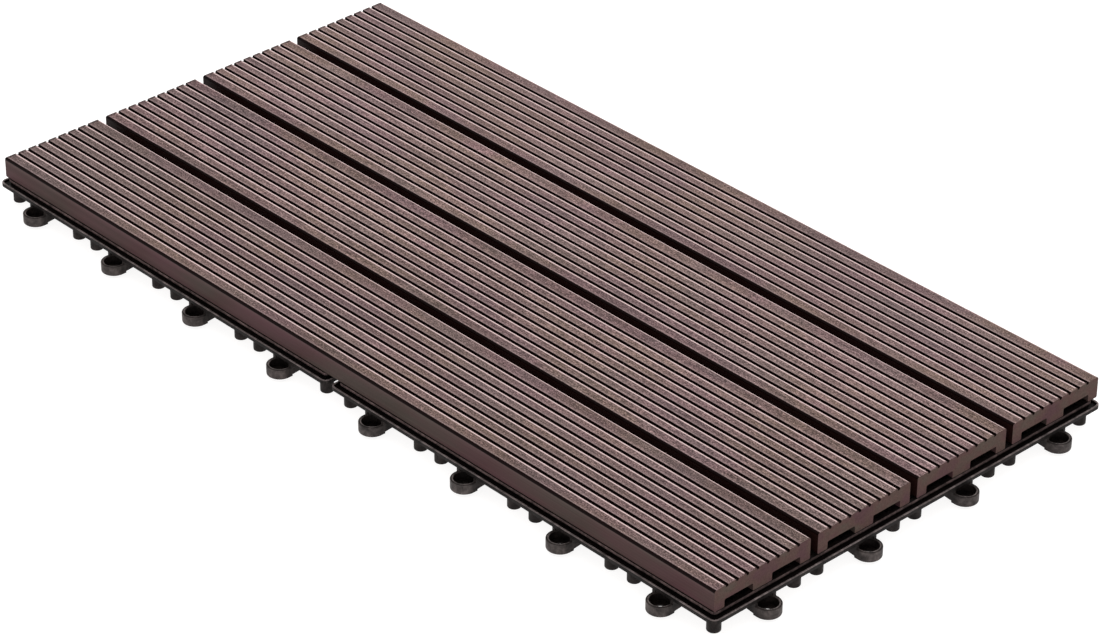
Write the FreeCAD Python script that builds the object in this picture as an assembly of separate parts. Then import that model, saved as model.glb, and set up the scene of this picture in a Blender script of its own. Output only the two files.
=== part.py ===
import FreeCAD, Part
import math
import os

os.makedirs("parts", exist_ok=True)
V = FreeCAD.Vector

# Interlocking deck tile: four ribbed composite slats screwed to two identical
# square base grids. Millimetres, +Z up. The geometry is laid out from the front
# left corner of the left base, and is moved at the end so that the origin is the
# middle of the whole tile's footprint, on the ground.
# Front is -Y, the loops stand out of the front and of the right (+X) side.

# ---------------------------------------------------------------- dimensions
module = 300.0            # from one base to the next, and from tile to tile
base_size = 296.5         # one base, over its lip
cell = base_size / 4      # pitch of loops, tabs and groups of feet

# slats
slat_count = 4
slat_length = 590.3
slat_width = 69.1
slat_height = 13.0
slat_pitch = 74.58
slat_first_y = 3.63       # front face of the first slat
slat_x0 = 2.25            # left end of the slats
groove_count = 8
groove_pitch = 7.34
groove_width = 1.7
groove_depth = 1.2
rib_edge_radius = 0.45
groove_floor_radius = 0.3
slat_top_radius = 1.1     # the two long upper edges
slat_bottom_radius = 0.9  # the two long lower edges
channel_wall = 7.3        # solid wall outside each channel
channel_width = 20.4
channel_height = 4.7
channel_radius = 0.9
channel_lip = 0.4         # small chamfer at the channel mouths

# base, heights above the ground
base_height = 15.0        # the slats rest here
lattice_bottom = 9.0
flange_bottom = 10.3
gutter_floor = 11.2
lip_top = 12.7
lip_thickness = 1.25
lip_corner_radius = 4.2
rim_inset = 3.7           # outer face of the rim under the slats' edges
rim_thickness = 2.3
bead_bottom = 13.1        # the rim's upper band stands out over its wall
bead_step = 0.9
rim_corner_radius = 2.2
plate_inset = 22.2        # the closed edge strip reaches in to the first rib
rib_thickness = 1.6
main_rib_thickness = 2.2
rib_offsets = (8.3, 22.7, cell / 2, cell - 22.7, cell - 8.3)
drain_radius = 2.2        # drain holes in the edge strip
drain_inset = 18.0

# feet
foot_radius = 3.9
foot_bore_radius = 2.3
foot_bore_depth = 7.0
foot_offset = 8.3         # from the lines of the cells
foot_edge_radius = 0.7

# loops: thin-walled, each closed underneath by a thin drained floor
loop_outer_radius = 7.6
loop_inner_radius = 5.9
loop_floor = 2.9          # upper face of the loop's floor
loop_drain_radius = 2.6
loop_centre_out = 1.3     # loop centre outside the base's edge
loop_bottom = 2.0
loop_top = 8.1
loop_edge_radius = 0.6
bracket_start = 1.4       # the bracket behind the ring, from the base's edge
bracket_end = 7.4
bracket_bottom = (3.3, 3.9)

# tabs that a neighbour's loops hook over
tab_radius = 5.4
tab_inset = (0.2, 3.1)
tab_bottom = 3.7

# screws
screw_x = (cell / 2, 2 * cell, 3.5 * cell)   # in each base
boss_radius = 5.3
screw_clearance_radius = 2.1
screw_recess_radius = 3.9
screw_recess_top = 11.9
screw_radius = 1.75
screw_tip_z = 24.3
screw_head_radius = 3.4
screw_head_height = 2.3
pilot_radius = 1.8
pilot_top_z = 24.8


# ------------------------------------------------------------------- helpers
def box(x0, y0, z0, x1, y1, z1):
    return Part.makeBox(x1 - x0, y1 - y0, z1 - z0, V(x0, y0, z0))


def rounded_wire(x0, y0, x1, y1, r, z):
    """Closed wire of a rectangle with rounded corners."""
    a = r * (1 - math.sqrt(0.5))
    e = [
        Part.LineSegment(V(x0 + r, y0, z), V(x1 - r, y0, z)).toShape(),
        Part.Arc(V(x1 - r, y0, z), V(x1 - a, y0 + a, z), V(x1, y0 + r, z)).toShape(),
        Part.LineSegment(V(x1, y0 + r, z), V(x1, y1 - r, z)).toShape(),
        Part.Arc(V(x1, y1 - r, z), V(x1 - a, y1 - a, z), V(x1 - r, y1, z)).toShape(),
        Part.LineSegment(V(x1 - r, y1, z), V(x0 + r, y1, z)).toShape(),
        Part.Arc(V(x0 + r, y1, z), V(x0 + a, y1 - a, z), V(x0, y1 - r, z)).toShape(),
        Part.LineSegment(V(x0, y1 - r, z), V(x0, y0 + r, z)).toShape(),
        Part.Arc(V(x0, y0 + r, z), V(x0 + a, y0 + a, z), V(x0 + r, y0, z)).toShape(),
    ]
    return Part.Wire(e)


def holed_face(wires):
    """Flat face: the first wire is its outline, the others are holes."""
    return Part.makeFace(wires, "Part::FaceMakerCheese")


def rect_wire(x0, y0, x1, y1, z):
    p = [V(x0, y0, z), V(x1, y0, z), V(x1, y1, z), V(x0, y1, z), V(x0, y0, z)]
    return Part.makePolygon(p)


def outline_path(points):
    """Wire in the YZ plane from (y, z, radius) corners, each corner rounded."""
    n = len(points)
    edges = []
    starts, ends, mids = [], [], []
    for i, (y, z, r) in enumerate(points):
        py, pz, _ = points[i - 1]
        ny, nz, _ = points[(i + 1) % n]
        a = V(0, py - y, pz - z)
        b = V(0, ny - y, nz - z)
        a.normalize()
        b.normalize()
        if r <= 0:
            p = V(0, y, z)
            starts.append(p)
            ends.append(p)
            mids.append(None)
            continue
        half = a.getAngle(b) / 2
        t = r / math.tan(half)
        p = V(0, y, z)
        s = p + a * t
        e = p + b * t
        bis = a + b
        bis.normalize()
        c = p + bis * (r / math.sin(half))
        starts.append(s)
        ends.append(e)
        mids.append(c - bis * r)
    for i in range(n):
        if mids[i] is not None:
            edges.append(Part.Arc(starts[i], mids[i], ends[i]).toShape())
        j = (i + 1) % n
        if (starts[j] - ends[i]).Length > 1e-3:
            edges.append(Part.LineSegment(ends[i], starts[j]).toShape())
    return Part.Wire(edges)


# --------------------------------------------------------------------- slats
def make_slat():
    w, h = slat_width, slat_height
    pts = [(0, 0, slat_bottom_radius), (0, h, slat_top_radius)]
    first = w / 2 - groove_pitch * (groove_count - 1) / 2
    for k in range(groove_count):
        c = first + k * groove_pitch
        a, b = c - groove_width / 2, c + groove_width / 2
        pts += [(a, h, rib_edge_radius), (a, h - groove_depth, groove_floor_radius),
                (b, h - groove_depth, groove_floor_radius), (b, h, rib_edge_radius)]
    pts += [(w, h, slat_top_radius), (w, 0, slat_bottom_radius)]
    for a, b in ((w - channel_wall, w - channel_wall - channel_width),
                 (channel_wall + channel_width, channel_wall)):
        pts += [(a + channel_lip, 0, 0), (a, channel_lip, 0),
                (a, channel_height, channel_radius),
                (b, channel_height, channel_radius),
                (b, channel_lip, 0), (b - channel_lip, 0, 0)]
    wire = outline_path(pts)
    body = Part.Face(wire).extrude(V(slat_length, 0, 0))
    body.translate(V(slat_x0, 0, base_height))
    holes = []
    for b in (0, 1):
        for x in screw_x:
            holes.append(Part.makeCylinder(pilot_radius, pilot_top_z - base_height + 1,
                                           V(x + b * module, w / 2, base_height - 1)))
    return body.cut(Part.makeCompound(holes))


# -------------------------------------------------------------------- screws
def make_screw():
    """Pan-head screw, axis on Z, bearing face of the head at z = 0, shank up."""
    shank_length = screw_tip_z - screw_recess_top
    shank = Part.makeCylinder(screw_radius, shank_length - 2.6)
    tip = Part.makeCone(screw_radius, 0.35, 2.6, V(0, 0, shank_length - 2.6))
    head = Part.makeCylinder(screw_head_radius, screw_head_height, V(0, 0, -screw_head_height))
    low = [e for e in head.Edges if abs(e.BoundBox.ZMax + screw_head_height) < 1e-3
           and e.BoundBox.XLength > screw_head_radius]
    head = head.makeFillet(1.3, low)
    s = head.fuse([shank, tip]).removeSplitter()
    d = screw_head_height
    cross = [box(-1.9, -0.42, -d - 0.1, 1.9, 0.42, -d + 1.2),
             box(-0.42, -1.9, -d - 0.1, 0.42, 1.9, -d + 1.2),
             Part.makeCone(1.15, 0.5, 1.5, V(0, 0, -d))]
    return s.cut(cross[0].fuse(cross[1:]))


# --------------------------------------------------------------------- bases
def rib_spans():
    """Open spans between the ribs across one base."""
    lines = []
    for m in range(4):
        for o in rib_offsets:
            p = m * cell + o
            if foot_offset + 0.1 < p < base_size - foot_offset - 0.1:
                lines.append((p, rib_thickness))
        if m:
            lines.append((m * cell, main_rib_thickness))
    lines.sort()
    spans = []
    at = rim_inset + rim_thickness
    for p, t in lines:
        spans.append((at, p - t / 2))
        at = p + t / 2
    spans.append((at, base_size - rim_inset - rim_thickness))
    return spans


def loop_shape():
    """Loop on the front side, centred on x = 0, edge of the base at y = 0."""
    ro, ri, c, b0 = loop_outer_radius, loop_inner_radius, -loop_centre_out, bracket_start
    outer = Part.Wire([
        Part.LineSegment(V(-ro, b0, 0), V(-ro, c, 0)).toShape(),
        Part.Arc(V(-ro, c, 0), V(0, c - ro, 0), V(ro, c, 0)).toShape(),
        Part.LineSegment(V(ro, c, 0), V(ro, b0, 0)).toShape(),
        Part.LineSegment(V(ro, b0, 0), V(-ro, b0, 0)).toShape()])
    ring = Part.Face(outer).extrude(V(0, 0, loop_top - loop_bottom))
    ring.translate(V(0, 0, loop_bottom))
    edges = []
    for e in ring.Edges:
        bb = e.BoundBox
        if bb.ZLength < 1e-3 and bb.YLength > 1e-3:
            edges.append(e)
    ring = ring.makeFillet(loop_edge_radius, edges)
    # bracket behind the ring, its underside rising towards the middle of the base
    z0, z1 = bracket_bottom
    top = flange_bottom + 0.2
    side = Part.makePolygon([V(-ro, b0 - 0.1, z0), V(-ro, bracket_end, z1),
                             V(-ro, bracket_end, top), V(-ro, b0 - 0.1, top),
                             V(-ro, b0 - 0.1, z0)])
    bracket = Part.Face(side).extrude(V(2 * ro, 0, 0))
    # two necks between the ring and the flange, just behind the lip's face
    necks = []
    for s in (-1, 1):
        x0, x1 = sorted((s * (ri - 0.3), s * ro))
        necks.append(box(x0, 0.25, loop_top - 0.9, x1, b0, top))
    # the floor of the loop runs on under the bracket
    pan = Part.makeCylinder(ri + 0.8, z1 - loop_bottom, V(0, c, loop_bottom))
    body = ring.fuse([bracket, pan] + necks)
    hole = Part.makeCylinder(ri, flange_bottom - loop_floor, V(0, c, loop_floor))
    drain = Part.makeCylinder(loop_drain_radius, loop_floor, V(0, c, 1.0))
    body = body.cut(hole.fuse(drain))
    rim_edges = []
    for e in body.Edges:
        bb = e.BoundBox
        flat = bb.ZLength < 1e-3 and abs(bb.ZMin - loop_top) < 1e-3
        if flat and bb.YMax < 0.3 and bb.YMin > c - ri - 0.1 and bb.XLength > ri:
            rim_edges.append(e)
    if rim_edges:
        body = body.makeFillet(0.35, rim_edges)
    return body


def tab_shape():
    """Tab at the back side, centred on x = 0, edge of the base at y = 0, inside is -y."""
    i0, i1 = tab_inset
    centre = module - base_size - loop_centre_out
    disc = Part.makeCylinder(tab_radius, flange_bottom + 0.2 - tab_bottom, V(0, centre, tab_bottom))
    tab = disc.common(box(-tab_radius, -i1 - 1, tab_bottom - 1, tab_radius, -i0, flange_bottom + 1))
    low = [e for e in tab.Edges if e.BoundBox.ZMax < tab_bottom + 1e-3]
    tab = tab.makeFillet(0.5, low)
    web = box(-0.8, -rim_inset - 0.3, lattice_bottom - 0.4, 0.8, -i1 + 0.3, flange_bottom + 0.2)
    return tab.fuse(web)


def foot_shape():
    f = Part.makeCylinder(foot_radius, base_height)
    low = [e for e in f.Edges if abs(e.BoundBox.ZMax) < 1e-3 and e.BoundBox.XLength > foot_radius]
    return f.makeFillet(foot_edge_radius, low)


def make_base():
    m = base_size
    spans = rib_spans()
    wall = rim_inset + bead_step
    outer = rounded_wire(wall, wall, m - wall, m - wall,
                         rim_corner_radius - bead_step, lattice_bottom)
    wires = [outer]
    for x0, x1 in spans:
        for y0, y1 in spans:
            wires.append(rect_wire(x0, y0, x1, y1, lattice_bottom))
    lattice = holed_face(wires).extrude(V(0, 0, base_height - lattice_bottom))

    # edge strip: floor of the gutter outside the rim, and of the first cells inside it
    i1 = m - plate_inset
    flange = holed_face([rounded_wire(0, 0, m, m, lip_corner_radius, flange_bottom),
                         rounded_wire(plate_inset, plate_inset, i1, i1, 0.4, flange_bottom)])
    flange = flange.extrude(V(0, 0, gutter_floor - flange_bottom))
    i0, i1 = rim_inset, rim_inset + rim_thickness - 0.3
    bead = holed_face([rounded_wire(i0, i0, m - i0, m - i0, rim_corner_radius, bead_bottom),
                       rounded_wire(i1, i1, m - i1, m - i1, 0.4, bead_bottom)])
    bead = bead.extrude(V(0, 0, base_height - bead_bottom))
    t = lip_thickness
    lip = holed_face([rounded_wire(0, 0, m, m, lip_corner_radius, flange_bottom),
                      rounded_wire(t, t, m - t, m - t, lip_corner_radius - t, flange_bottom)])
    lip = lip.extrude(V(0, 0, lip_top - flange_bottom))
    top = [e for e in lip.Edges if e.BoundBox.ZMin > lip_top - 1e-3]
    lip = lip.makeFillet(0.45, top)
    adds, cuts = [flange, bead, lip], []

    # feet under each corner of each cell
    foot = foot_shape()
    spots = []
    for k in range(5):
        for s in (-1, 1):
            p = k * cell + s * foot_offset
            if 0 < p < m:
                spots.append(p)
    for x in spots:
        for y in spots:
            f = foot.copy()
            f.translate(V(x, y, 0))
            adds.append(f)
            cuts.append(Part.makeCylinder(foot_bore_radius, foot_bore_depth + 1, V(x, y, -1)))
    # corner webs tie the four outermost feet to the rim
    lo, hi = rim_inset + 1.1, rim_inset + 6.0
    for x0, x1 in ((lo, hi), (m - hi, m - lo)):
        for y0, y1 in ((lo, hi), (m - hi, m - lo)):
            adds.append(box(x0, y0, lattice_bottom, x1, y1, base_height))

    # loops on the front and on the right
    lp = loop_shape()
    for k in range(4):
        f = lp.copy()
        f.translate(V((k + 0.5) * cell, 0, 0))
        adds.append(f)
        r = lp.copy()
        r.rotate(V(0, 0, 0), V(0, 0, 1), 90)
        r.translate(V(m, (k + 0.5) * cell, 0))
        adds.append(r)

    # tabs under the lip at the back and on the left
    tb = tab_shape()
    for k in range(4):
        f = tb.copy()
        f.translate(V((k + 0.5) * cell, m, 0))
        adds.append(f)
        r = tb.copy()
        r.rotate(V(0, 0, 0), V(0, 0, 1), 90)
        r.translate(V(0, (k + 0.5) * cell, 0))
        adds.append(r)

    # drain holes in the closed edge strip, one in each wide cell
    seen = set()
    for a0, a1 in spans:
        if a1 - a0 < 9:
            continue
        c = (a0 + a1) / 2
        for d in (drain_inset, m - drain_inset):
            for x, y in ((c, d), (d, c)):
                if min(x, y) > 14 and max(x, y) < m - 14:
                    key = (round(x, 2), round(y, 2))
                    if key not in seen:
                        seen.add(key)
                        cuts.append(Part.makeCylinder(drain_radius, 3, V(x, y, flange_bottom - 1)))

    # screw bosses under the middle of each slat
    for j in range(slat_count):
        y = slat_first_y + j * slat_pitch + slat_width / 2
        for x in screw_x:
            adds.append(Part.makeCylinder(boss_radius, base_height - lattice_bottom,
                                          V(x, y, lattice_bottom)))
            cuts.append(Part.makeCylinder(screw_clearance_radius, base_height, V(x, y, 1)))
            cuts.append(Part.makeCylinder(screw_recess_radius, screw_recess_top - lattice_bottom + 1,
                                          V(x, y, lattice_bottom - 1)))
    body = lattice.fuse(adds)
    body = body.cut(Part.makeCompound(cuts))
    body = body.removeSplitter()
    solids = body.Solids
    print("base solids", len(solids), "faces", len(body.Faces), "valid", body.isValid())
    return solids[0] if len(solids) == 1 else body


# --------------------------------------------------------------------- build
reach = loop_centre_out + loop_outer_radius
x_low, x_high = 0.0, module + base_size + reach
y_low, y_high = -reach, base_size
shift = V(-(x_low + x_high) / 2, -(y_low + y_high) / 2, 0)

nodes = {}

slat = make_slat()
for j in range(slat_count):
    s = slat.copy()
    s.translate(V(0, slat_first_y + j * slat_pitch, 0))
    nodes["deck_slat_%d" % (j + 1)] = s

base = make_base()
nodes["base_left"] = base
right = base.copy()
right.translate(V(module, 0, 0))
nodes["base_right"] = right

screw = make_screw()
for j in range(slat_count):
    y = slat_first_y + j * slat_pitch + slat_width / 2
    group = []
    for b in (0, 1):
        for x in screw_x:
            c = screw.copy()
            c.translate(V(x + b * module, y, screw_recess_top))
            group.append(c)
    nodes["slat_%d_screws" % (j + 1)] = Part.makeCompound(group)

for name, shape in nodes.items():
    shape.translate(shift)
    shape.exportStep("parts/%s.step" % name)
    bb = shape.BoundBox
    print("%-16s solids %2d volume %10.1f  x %8.2f %8.2f  y %8.2f %8.2f  z %6.2f %6.2f valid %s" % (
        name, len(shape.Solids), shape.Volume, bb.XMin, bb.XMax, bb.YMin, bb.YMax,
        bb.ZMin, bb.ZMax, shape.isValid()))
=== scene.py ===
import math

import bpy
from mathutils import Matrix, Vector

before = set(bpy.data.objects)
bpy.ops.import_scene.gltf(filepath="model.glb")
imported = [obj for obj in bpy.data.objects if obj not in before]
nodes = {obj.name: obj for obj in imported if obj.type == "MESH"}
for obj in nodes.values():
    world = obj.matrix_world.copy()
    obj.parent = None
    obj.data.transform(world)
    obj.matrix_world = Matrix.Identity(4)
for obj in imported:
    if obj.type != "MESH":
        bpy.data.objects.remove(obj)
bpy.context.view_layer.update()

# Metres, in the frame of the solid model: +X along the slats, +Y to the plain
# long side, +Z up, z = 0 under the feet. The walking surface is at z = 0.028.
TOP = 0.028
SLAT_BOTTOM = 0.015
FIRST_Y = 0.00363 - 0.1438    # front face of the first slat
PITCH = 0.07458
SLAT_W = 0.0691
X_LEFT = 0.00225 - 0.3027
X_RIGHT = 0.59255 - 0.3027
BASE = 296.5                    # one base, millimetres over its lip
CELL = BASE / 4

scene = bpy.context.scene


# ------------------------------------------------------------ node helpers
class Nodes:
    """Short spellings for a material's node tree."""

    def __init__(self, name):
        self.mat = bpy.data.materials.new(name)
        self.mat.use_nodes = True
        self.t = self.mat.node_tree
        self.t.nodes.clear()
        self.out = self.t.nodes.new("ShaderNodeOutputMaterial")
        self.bsdf = self.t.nodes.new("ShaderNodeBsdfPrincipled")
        self.t.links.new(self.bsdf.outputs[0], self.out.inputs[0])
        self._geo = None
        self._pos = None

    def new(self, kind):
        return self.t.nodes.new(kind)

    def link(self, a, b):
        self.t.links.new(a, b)

    def put(self, socket, value):
        if hasattr(value, "is_output"):
            self.link(value, socket)
        else:
            socket.default_value = value

    def pos(self):
        if self._pos is None:
            self._pos = self.new("ShaderNodeTexCoord").outputs["Object"]
        return self._pos

    def normal(self):
        if self._geo is None:
            self._geo = self.new("ShaderNodeNewGeometry")
        return self._geo.outputs["True Normal"]

    def xyz(self, v):
        n = self.new("ShaderNodeSeparateXYZ")
        self.link(v, n.inputs[0])
        return n.outputs[0], n.outputs[1], n.outputs[2]

    def math(self, op, a, b=0.0, c=0.0, clamp=False):
        n = self.new("ShaderNodeMath")
        n.operation = op
        n.use_clamp = clamp
        self.put(n.inputs[0], a)
        self.put(n.inputs[1], b)
        self.put(n.inputs[2], c)
        return n.outputs[0]

    def scaled(self, v, s, offset=(0, 0, 0)):
        n = self.new("ShaderNodeMapping")
        self.link(v, n.inputs["Vector"])
        n.inputs["Scale"].default_value = s
        n.inputs["Location"].default_value = offset
        return n.outputs[0]

    def noise(self, v, scale=1.0, detail=3.0, rough=0.5, distort=0.0, dims="3D", color=False):
        n = self.new("ShaderNodeTexNoise")
        n.noise_dimensions = dims
        self.link(v, n.inputs["Vector"])
        n.inputs["Scale"].default_value = scale
        n.inputs["Detail"].default_value = detail
        n.inputs["Roughness"].default_value = rough
        n.inputs["Distortion"].default_value = distort
        return n.outputs["Color" if color else "Fac"]

    def ramp(self, f, stops, mode="LINEAR"):
        n = self.new("ShaderNodeValToRGB")
        n.color_ramp.interpolation = mode
        r = n.color_ramp.elements
        while len(r) < len(stops):
            r.new(0.5)
        for e, (p, c) in zip(r, stops):
            e.position = p
            e.color = (c, c, c, 1) if isinstance(c, (int, float)) else (*c, 1)
        self.link(f, n.inputs[0])
        return n.outputs[0]

    def step(self, f, lo, hi, a=0.0, b=1.0, kind="SMOOTHSTEP"):
        n = self.new("ShaderNodeMapRange")
        n.interpolation_type = kind
        self.put(n.inputs["Value"], f)
        n.inputs["From Min"].default_value = lo
        n.inputs["From Max"].default_value = hi
        n.inputs["To Min"].default_value = a
        n.inputs["To Max"].default_value = b
        return n.outputs[0]

    def mix(self, f, a, b, blend="MIX"):
        n = self.new("ShaderNodeMix")
        n.data_type = "RGBA"
        n.blend_type = blend
        n.clamp_factor = True
        self.put(n.inputs[0], f)
        for s, v in ((n.inputs[6], a), (n.inputs[7], b)):
            if hasattr(v, "is_output"):
                self.link(v, s)
            else:
                s.default_value = (*v, 1)
        return n.outputs[2]

    def mixf(self, f, a, b):
        n = self.new("ShaderNodeMix")
        n.data_type = "FLOAT"
        self.put(n.inputs[0], f)
        self.put(n.inputs[2], a)
        self.put(n.inputs[3], b)
        return n.outputs[0]

    def bump(self, height, distance, strength=1.0, normal=None):
        n = self.new("ShaderNodeBump")
        n.inputs["Distance"].default_value = distance
        n.inputs["Strength"].default_value = strength
        self.link(height, n.inputs["Height"])
        if normal is not None:
            self.link(normal, n.inputs["Normal"])
        return n.outputs[0]


def srgb(r, g, b):
    def f(c):
        c /= 255.0
        return c / 12.92 if c <= 0.04045 else ((c + 0.055) / 1.055) ** 2.4
    return f(r), f(g), f(b)


# ---------------------------------------------------------------- materials
LAND_A = (0.109, 0.0745, 0.0765)
LAND_B = (0.127, 0.080, 0.082)
LAND_C = (0.124, 0.081, 0.0765)
LAND_D = (0.123, 0.084, 0.071)
LAND_E = (0.140, 0.0865, 0.0875)
LAND_GREY = (0.111, 0.081, 0.0775)
# painted highlight colour for the pale lines along the ribs' edges
PALE_HIGHLIGHT = (0.58, 0.44, 0.43)
SKIN_A = (0.071, 0.034, 0.038)
SKIN_B = (0.062, 0.035, 0.034)
SKIN_C = (0.054, 0.041, 0.035)
# painted shade colour for the slat faces seen down the gaps
GAP_SHADE = (0.014, 0.005, 0.0045)
# painted shade colour for the front edges, grooves, foot line and channels
SHADE_BLACK = (0.004, 0.0008, 0.0007)
CUT_A = (0.084, 0.045, 0.048)
CUT_B = (0.088, 0.053, 0.047)
CUT_C = (0.081, 0.060, 0.050)
# painted light colours for the lip's top, the rim's band and the loops' walls, and a painted glint colour for the ring
# tops
LIP_TOP_LIGHT = (0.110, 0.090, 0.088)
RIM_BAND_LIGHT = (0.085, 0.058, 0.056)
LOOP_WALL_LIGHT = (0.053, 0.044, 0.042)
RING_GLINT = (0.100, 0.085, 0.082)


def slat_material(index):
    """Brown wood-plastic composite: brushed rib tops with painted highlights along their edges, smooth darker extruded
    skin on the sides, painted shade on the rounded front edge, in the grooves, the gaps and the channels, sawn ends."""
    m = Nodes("slat_composite_%d" % index)
    p = m.pos()
    x, y, z = m.xyz(p)
    nx, ny, nz = m.xyz(m.normal())
    shift = (0.37 * index, 1.91 * index, 0.73 * index)

    # millimetres below the walking surface, back from the slat's front face,
    # and in from its two ends
    depth = m.math("MULTIPLY", m.math("SUBTRACT", TOP, z), 1000.0)
    v = m.math("MULTIPLY", m.math("SUBTRACT", y, FIRST_Y + PITCH * (index - 1)), 1000.0)
    in_left = m.math("MULTIPLY", m.math("SUBTRACT", x, X_LEFT), 1000.0)
    in_right = m.math("MULTIPLY", m.math("SUBTRACT", X_RIGHT, x), 1000.0)
    in_end = m.math("MINIMUM", in_left, in_right)
    last = m.step(v, 61.9, 62.1)
    t = m.math("FLOORED_MODULO", m.math("SUBTRACT", v, 8.01), 7.34)
    to_back = m.mixf(last, m.math("SUBTRACT", 7.34, t), m.math("SUBTRACT", 69.1, v))
    from_front = m.math("SUBTRACT", t, 1.7)

    top = m.step(depth, 0.34, 0.16)
    end = m.step(m.math("ABSOLUTE", nx), 0.5, 0.9)

    # colour drifts of the batch: mauve, olive and grey, drawn out along the slat
    drift = m.noise(m.scaled(p, (11.0, 24.0, 10.0), shift), 1.0, 3.0, 0.55)
    drift2 = m.noise(m.scaled(p, (17.0, 40.0, 10.0), (shift[1], shift[0], 4.0)), 1.0, 2.0, 0.5)
    light = m.noise(m.scaled(p, (8.0, 60.0, 10.0), (shift[2], shift[1], 9.0)), 1.0, 4.0, 0.65)
    base = m.ramp(drift, [(0.30, LAND_A), (0.42, LAND_B), (0.50, LAND_C), (0.60, LAND_D),
                          (0.70, LAND_E)])
    base = m.mix(m.step(drift2, 0.46, 0.68, 0.0, 0.6), base, LAND_GREY)
    # the slats differ a little in lightness; the front one is the darkest, most so
    # and greyest towards its left end
    k = (0.89, 0.95, 1.01, 1.0)[index - 1]
    base = m.mix(1.0, base, m.ramp(light, [(0.30, 0.74 * k), (0.5, 1.0 * k), (0.70, 1.30 * k)]), "MULTIPLY")
    if index == 1:
        base = m.mix(m.step(in_left, 20.0, 170.0, 0.7, 0.0), base, tuple(0.83 * c for c in LAND_GREY))

    # brushing: short torn fibres and long fine scratches
    scratch = m.noise(m.scaled(p, (110.0, 2200.0, 900.0), shift), 1.0, 3.0, 0.62)
    fibre_top = m.noise(m.scaled(p, (720.0, 1500.0, 900.0), shift), 1.0, 3.0, 0.72)
    speck = m.noise(m.scaled(p, (1500.0, 1900.0, 1500.0), shift), 1.0, 2.0, 0.65)
    tone = m.ramp(fibre_top, [(0.28, 0.30), (0.42, 0.66), (0.5, 0.99), (0.58, 1.40), (0.72, 2.2)])
    tone2 = m.ramp(speck, [(0.30, 0.40), (0.5, 1.0), (0.70, 1.9)])
    tone3 = m.ramp(scratch, [(0.34, 0.66), (0.5, 1.0), (0.66, 1.42)])
    brushed = m.mix(1.0, base, tone, "MULTIPLY")
    brushed = m.mix(1.0, brushed, tone2, "MULTIPLY")
    brushed = m.mix(1.0, brushed, tone3, "MULTIPLY")

    # painted highlight: a pale strip along the back edge of each rib, a fainter one along its front edge and on the
    # slat's front nose
    bead = m.noise(m.scaled(p, (420.0, 300.0, 10.0), shift), 1.0, 2.0, 0.6)
    inside = m.math("MULTIPLY", m.step(v, 1.3, 1.6), m.step(in_end, 0.7, 1.3))
    back = m.math("MULTIPLY", m.step(to_back, 1.30, 0.90), m.step(to_back, 0.13, 0.34))
    back = m.math("MULTIPLY", back, inside)
    back = m.math("MULTIPLY", back, m.step(bead, 0.25, 0.62, 0.72, 1.0, "LINEAR"))
    front = m.math("MULTIPLY", m.step(from_front, 1.9, 0.7), m.step(from_front, 0.0, 0.3))
    front = m.math("MULTIPLY", front, m.math("MULTIPLY", m.step(v, 9.0, 9.2), m.step(v, 66.2, 66.0)))
    nose_highlight = m.math("MULTIPLY", m.step(v, 2.7, 1.8), m.step(v, 1.3, 1.55))
    front = m.math("MAXIMUM", front, nose_highlight)
    brushed = m.mix(m.math("MULTIPLY", front, 0.16), brushed, PALE_HIGHLIGHT)
    brushed = m.mix(back, brushed, PALE_HIGHLIGHT)

    # extruded skin: darker, even, with faint die lines along the slat
    die = m.noise(m.scaled(p, (2.5, 900.0, 900.0), shift), 1.0, 2.0, 0.5)
    skin_soft = m.noise(m.scaled(p, (14.0, 30.0, 60.0), shift), 1.0, 2.0, 0.5)
    skin = m.ramp(skin_soft, [(0.34, SKIN_A), (0.5, SKIN_B), (0.66, SKIN_C)])
    skin = m.mix(0.5, skin, m.mix(1.0, skin, m.ramp(die, [(0.3, 0.8), (0.7, 1.2)]), "MULTIPLY"))
    if index > 1:
        # painted shade: the slat's front face, seen down the gap, is coloured near black
        gap_shade = m.math("MULTIPLY", m.step(v, 0.6, 0.3), m.step(ny, -0.5, -0.8))
        skin = m.mix(gap_shade, skin, GAP_SHADE)
    # painted shade: the rounded front edge and the grooves' walls are coloured near black
    edge = m.math("MULTIPLY", m.step(v, 1.42, 1.22), m.step(depth, 1.45, 1.2))
    # painted highlight: a faint pale line just under the first slat's front edge
    under_edge_glint = m.math("MULTIPLY", m.step(v, 1.2, 0.9), m.math("MULTIPLY", m.step(depth, 1.1, 1.5), m.step(depth, 3.0, 2.3)))
    groove_shade = m.math("MULTIPLY", m.step(depth, 0.015, 0.08),
                    m.math("MULTIPLY", m.step(depth, 2.4, 2.1),
                           m.math("MULTIPLY", m.step(v, 2.0, 3.0), m.step(v, 67.5, 66.5))))

    # painted shade: a dark line along the bottom of the slat's front face, where it sits on the rim
    foot_shade = m.math("MULTIPLY", m.step(depth, 11.9, 12.5), m.step(v, 1.2, 0.9))

    # sawn ends: speckled section of fibres in plastic
    fibre = m.noise(m.scaled(p, (900.0, 950.0, 950.0), shift), 1.0, 4.0, 0.65)
    blot = m.noise(m.scaled(p, (60.0, 70.0, 110.0), shift), 1.0, 2.0, 0.5)
    saw = m.noise(m.scaled(p, (300.0, 260.0, 2600.0), shift), 1.0, 2.0, 0.5)
    cut = m.ramp(blot, [(0.34, CUT_A), (0.5, CUT_B), (0.66, CUT_C)])
    cut = m.mix(0.4, cut, m.mix(1.0, cut, m.ramp(fibre, [(0.34, 0.62), (0.5, 1.0), (0.68, 1.42)]), "MULTIPLY"))

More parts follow.
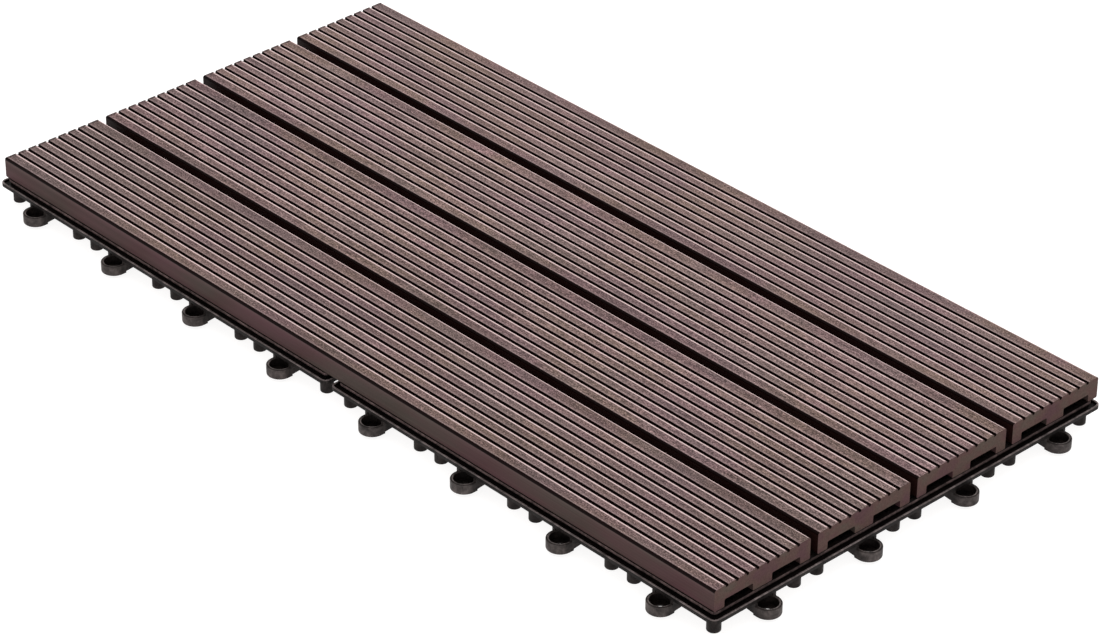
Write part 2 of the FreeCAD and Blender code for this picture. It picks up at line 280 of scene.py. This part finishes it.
    # the ribs are darker at the corner of their left ends
    scorch = m.step(in_left, 2.3, 1.3, 1.0, 0.52)
    brushed = m.mix(1.0, brushed, m.ramp(scorch, [(0.0, 0.0), (1.0, 1.0)]), "MULTIPLY")
    col = m.mix(m.math("MULTIPLY", under_edge_glint, 0.03 if index == 1 else 0.0), skin, PALE_HIGHLIGHT)
    col = m.mix(top, col, brushed)
    col = m.mix(edge, col, SHADE_BLACK)
    col = m.mix(groove_shade, col, SHADE_BLACK)
    col = m.mix(m.math("MULTIPLY", foot_shade, 0.75), col, SHADE_BLACK)
    col = m.mix(end, col, cut)
    # painted shade: the channels underneath are coloured near black within 40 mm of the slat ends
    channel_shade = m.math("MULTIPLY", m.step(depth, 7.9, 8.2), m.math("MULTIPLY", m.step(v, 6.9, 7.2), m.step(v, 62.2, 61.9)))
    channel_shade = m.math("MULTIPLY", channel_shade, m.step(nz, -0.3, -0.7))
    channel_shade = m.math("MULTIPLY", channel_shade, m.math("MULTIPLY", m.step(depth, 12.9, 12.5), m.step(in_end, 40.0, 20.0)))
    col = m.mix(channel_shade, col, SHADE_BLACK)
    m.link(col, m.bsdf.inputs["Base Color"])

    rough = m.mixf(top, 0.46, m.step(fibre_top, 0.35, 0.65, 0.9, 0.72, "LINEAR"))
    rough = m.mixf(end, rough, 0.85)
    m.link(rough, m.bsdf.inputs["Roughness"])
    m.bsdf.inputs["Specular IOR Level"].default_value = 0.05

    n1 = m.bump(m.math("MULTIPLY", scratch, top), 0.0003, 0.5)
    n2 = m.bump(m.math("MULTIPLY", fibre_top, top), 0.0003, 0.5, n1)
    other = m.math("SUBTRACT", 1.0, m.math("MAXIMUM", top, end))
    n3 = m.bump(m.math("MULTIPLY", die, other), 0.00006, 0.5, n2)
    n4 = m.bump(m.math("MULTIPLY", m.math("ADD", fibre, saw), end), 0.00018, 0.5, n3)
    m.link(n4, m.bsdf.inputs["Normal"])
    return m.mat


def base_material(name, x0):
    """Black polypropylene with painted light and shade: painted shade in the gutter, on the lip's outer face, along the
    rim's top, in the loops' holes and near the tile's edge; painted light on the lip's top, on the rim's band and on
    the outsides of the loops, with a painted glint on the ring tops."""
    m = Nodes(name)
    p = m.pos()
    x, y, z = m.xyz(p)
    nx, ny, nz = m.xyz(m.normal())
    bx = m.math("MULTIPLY", m.math("SUBTRACT", x, x0), 1000.0)
    by = m.math("MULTIPLY", m.math("ADD", y, 0.1438), 1000.0)
    h = m.math("MULTIPLY", z, 1000.0)
    inset = m.math("MINIMUM", m.math("MINIMUM", bx, m.math("SUBTRACT", BASE, bx)),
                   m.math("MINIMUM", by, m.math("SUBTRACT", BASE, by)))

    grain = m.noise(p, 2600.0, 2.0, 0.55)
    grain2 = m.noise(p, 700.0, 2.0, 0.5)
    cloud = m.noise(p, 45.0, 3.0, 0.6)
    wear = m.noise(p, 240.0, 3.0, 0.65)
    flow = m.noise(m.scaled(p, (14.0, 14.0, 40.0)), 1.0, 2.0, 0.5, 1.2)

    col = m.ramp(cloud, [(0.32, (0.012, 0.0095, 0.009)), (0.55, (0.017, 0.0135, 0.0125)), (0.72, (0.023, 0.0185, 0.017))])
    col = m.mix(m.step(flow, 0.5, 0.7, 0.0, 0.3), col, (0.027, 0.022, 0.020))
    # undersides and the lattice keep an even dark grey
    col = m.mix(m.step(nz, -0.3, -0.8), col, (0.026, 0.022, 0.020))
    # painted shade: the gutter behind the lip is coloured black
    gutter = m.math("MULTIPLY", m.step(inset, 1.0, 1.3), m.math("MULTIPLY", m.step(inset, 5.0, 4.7), m.math("MULTIPLY", m.step(h, 13.2, 13.0), m.step(h, 10.6, 10.9))))
    col = m.mix(gutter, col, (0.0028, 0.0016, 0.0014))
    # painted light: the lip's top is coloured lighter, as if lit from above
    lip = m.math("MULTIPLY", m.step(inset, 1.6, 1.45), m.math("MULTIPLY", m.step(h, 12.1, 12.45), m.step(nz, 0.1, 0.5)))
    col = m.mix(lip, col, LIP_TOP_LIGHT)
    # painted light: the upper band of the rim under the slats is coloured lighter, as if lit
    band = m.math("MULTIPLY", m.step(inset, 4.5, 4.3), m.math("MULTIPLY", m.step(inset, 3.2, 3.5), m.step(h, 13.1, 13.7)))
    col = m.mix(band, col, RIM_BAND_LIGHT)
    # painted shade: a dark line along the rim's top, under the slats
    col = m.mix(m.step(h, 14.62, 14.9), col, (0.004, 0.0025, 0.0022))
    # loops: painted light on the outer walls that fades into painted shade near the tile's edge, a painted glint on the
    # ring tops and painted shade in the hole
    def to_hole(along, out):
        u = m.math("SUBTRACT", m.math("FLOORED_MODULO", along, CELL), CELL / 2)
        w = m.math("ADD", out, 1.3)
        return m.math("SQRT", m.math("ADD", m.math("MULTIPLY", u, u), m.math("MULTIPLY", w, w)))
    r = m.math("MINIMUM", to_hole(bx, by), to_hole(by, m.math("SUBTRACT", BASE, bx)))
    loop = m.math("MULTIPLY", m.step(r, 8.3, 8.0), m.step(h, 9.3, 8.9))
    lit_wall = m.math("MULTIPLY", loop, m.math("MULTIPLY", m.step(r, 6.5, 6.9), m.step(m.math("ABSOLUTE", nz), 0.9, 0.5)))
    outside = m.math("MULTIPLY", m.math("MINIMUM", by, m.math("SUBTRACT", BASE, bx)), -1.0)
    lit_away_from_tile = m.step(outside, 0.5, 5.5, 0.12, 1.0)
    col = m.mix(m.math("MULTIPLY", lit_wall, lit_away_from_tile), col, LOOP_WALL_LIGHT)
    ring_glint = m.math("MULTIPLY", loop, m.math("MULTIPLY", m.step(h, 7.4, 7.7), m.step(r, 6.9, 6.4)))
    col = m.mix(m.math("MULTIPLY", ring_glint, lit_away_from_tile), col, RING_GLINT)
    # painted shade inside the loops' holes
    hole = m.math("MULTIPLY", loop, m.math("MULTIPLY", m.step(r, 6.35, 6.1), m.step(h, 7.75, 7.5)))
    col = m.mix(hole, col, (0.0085, 0.0062, 0.0056))

    # painted shade: the lip's upright outer face is coloured darker than its top, and the rim's band darker at the ends
    # of the tile than along its length
    lip_face_shade = m.math("MULTIPLY", m.step(inset, 0.5, 0.3), m.math("MULTIPLY", m.step(h, 9.9, 10.2), m.step(h, 12.5, 12.3)))
    col = m.mix(m.math("MULTIPLY", lip_face_shade, 0.58), col, (0.004, 0.003, 0.0028))
    band_end_shade = m.math("MULTIPLY", band, m.step(nx, 0.3, 0.7))
    col = m.mix(m.math("MULTIPLY", band_end_shade, 0.3), col, (0.006, 0.005, 0.0045))

    col = m.mix(1.0, col, m.ramp(wear, [(0.30, 0.42), (0.5, 1.0), (0.70, 1.9)]), "MULTIPLY")
    m.link(col, m.bsdf.inputs["Base Color"])
    m.link(m.step(cloud, 0.3, 0.7, 0.44, 0.6, "LINEAR"), m.bsdf.inputs["Roughness"])
    m.bsdf.inputs["Specular IOR Level"].default_value = 0.09
    n1 = m.bump(grain, 0.00004, 0.55)
    n2 = m.bump(grain2, 0.00008, 0.35, n1)
    m.link(n2, m.bsdf.inputs["Normal"])
    return m.mat


def screw_material():
    """Zinc-plated steel with a faint yellow-blue tint and fine turning marks."""
    m = Nodes("screw_steel")
    p = m.pos()
    cloud = m.noise(p, 600.0, 3.0, 0.6)
    fine = m.noise(m.scaled(p, (900.0, 900.0, 9000.0)), 1.0, 2.0, 0.5)
    col = m.ramp(cloud, [(0.35, (0.48, 0.47, 0.44)), (0.5, (0.6, 0.59, 0.56)), (0.68, (0.52, 0.55, 0.56))])
    m.link(col, m.bsdf.inputs["Base Color"])
    m.bsdf.inputs["Metallic"].default_value = 1.0
    m.link(m.step(cloud, 0.3, 0.7, 0.28, 0.45, "LINEAR"), m.bsdf.inputs["Roughness"])
    m.link(m.bump(fine, 0.00003, 0.5), m.bsdf.inputs["Normal"])
    return m.mat


def set_material(obj, mat):
    obj.data.materials.clear()
    obj.data.materials.append(mat)


steel = screw_material()
for j in range(1, 5):
    set_material(nodes["deck_slat_%d" % j], slat_material(j))
    set_material(nodes["slat_%d_screws" % j], steel)
set_material(nodes["base_left"], base_material("base_plastic_left", -0.3027))
set_material(nodes["base_right"], base_material("base_plastic_right", -0.0027))


# -------------------------------------------------------------------- floor
def floor():
    me = bpy.data.meshes.new("floor")
    s = 14.0
    me.from_pydata([(-s, -s, 0), (s, -s, 0), (s, s, 0), (-s, s, 0)], [], [(0, 1, 2, 3)])
    o = bpy.data.objects.new("floor", me)
    scene.collection.objects.link(o)
    m = Nodes("floor")
    # a light table: it glows evenly, so the tile throws only a faint shadow
    m.bsdf.inputs["Base Color"].default_value = (0.25, 0.248, 0.247, 1)
    m.bsdf.inputs["Emission Color"].default_value = (1.0, 0.99, 0.985, 1)
    m.bsdf.inputs["Emission Strength"].default_value = 0.90
    m.bsdf.inputs["Roughness"].default_value = 0.85
    m.bsdf.inputs["Specular IOR Level"].default_value = 0.2
    me.materials.append(m.mat)
    return o


floor()


# ------------------------------------------------------------------- lights
def area(name, loc, target, size_x, size_y, power, color=(1, 1, 1)):
    d = bpy.data.lights.new(name, "AREA")
    d.shape = "RECTANGLE"
    d.size = size_x
    d.size_y = size_y
    d.energy = power
    d.color = color
    o = bpy.data.objects.new(name, d)
    scene.collection.objects.link(o)
    o.location = loc
    o.rotation_euler = (Vector(target) - Vector(loc)).to_track_quat("-Z", "Y").to_euler()
    return o


# a long low softbox behind the tile lights the ribs' back edges; their bright lines are also painted into the slats'
# colour
area("back_low", (-1.55, 1.85, 0.42), (0, 0, 0.0), 3.2, 0.7, 22.0, (1.0, 0.985, 0.97))
# a large overhead softbox, a little behind
area("key_top", (-0.5, 0.9, 2.4), (0, 0, 0), 2.2, 2.2, 40.0, (1.0, 0.99, 0.98))
# a weak fill from the camera's side
area("fill", (2.2, -2.0, 1.2), (0, 0, 0), 2.0, 1.4, 4.0)

world = bpy.data.worlds.new("studio")
world.use_nodes = True
bg = world.node_tree.nodes["Background"]
bg.inputs[0].default_value = (1.0, 0.99, 0.985, 1)
bg.inputs[1].default_value = 0.95
scene.world = world

scene.view_settings.view_transform = "Standard"
scene.view_settings.look = "None"
scene.view_settings.exposure = 0.0
scene.view_settings.gamma = 1.0


# ------------------------------------------------------------------- camera
cam_data = bpy.data.cameras.new("camera")
cam = bpy.data.objects.new("camera", cam_data)
scene.collection.objects.link(cam)
cam_data.sensor_fit = "HORIZONTAL"
cam_data.sensor_width = 36.0
cam_data.lens = 4078.6 * 36.0 / 1102.0
cam_data.clip_start = 0.05
cam_data.clip_end = 60.0
fwd = Vector((-0.61833, 0.5811, -0.52913)).normalized()
right = Vector((0.6821, 0.73123, 0.00596))
right = (right - fwd * right.dot(fwd)).normalized()
up = right.cross(fwd)
rot = Matrix((right, up, -fwd)).transposed()
cam.matrix_world = Matrix.Translation((1.43760, -1.33208, 1.21916)) @ rot.to_4x4()
scene.camera = cam


# --------------------------------------------------------------------- update
bpy.context.view_layer.update()
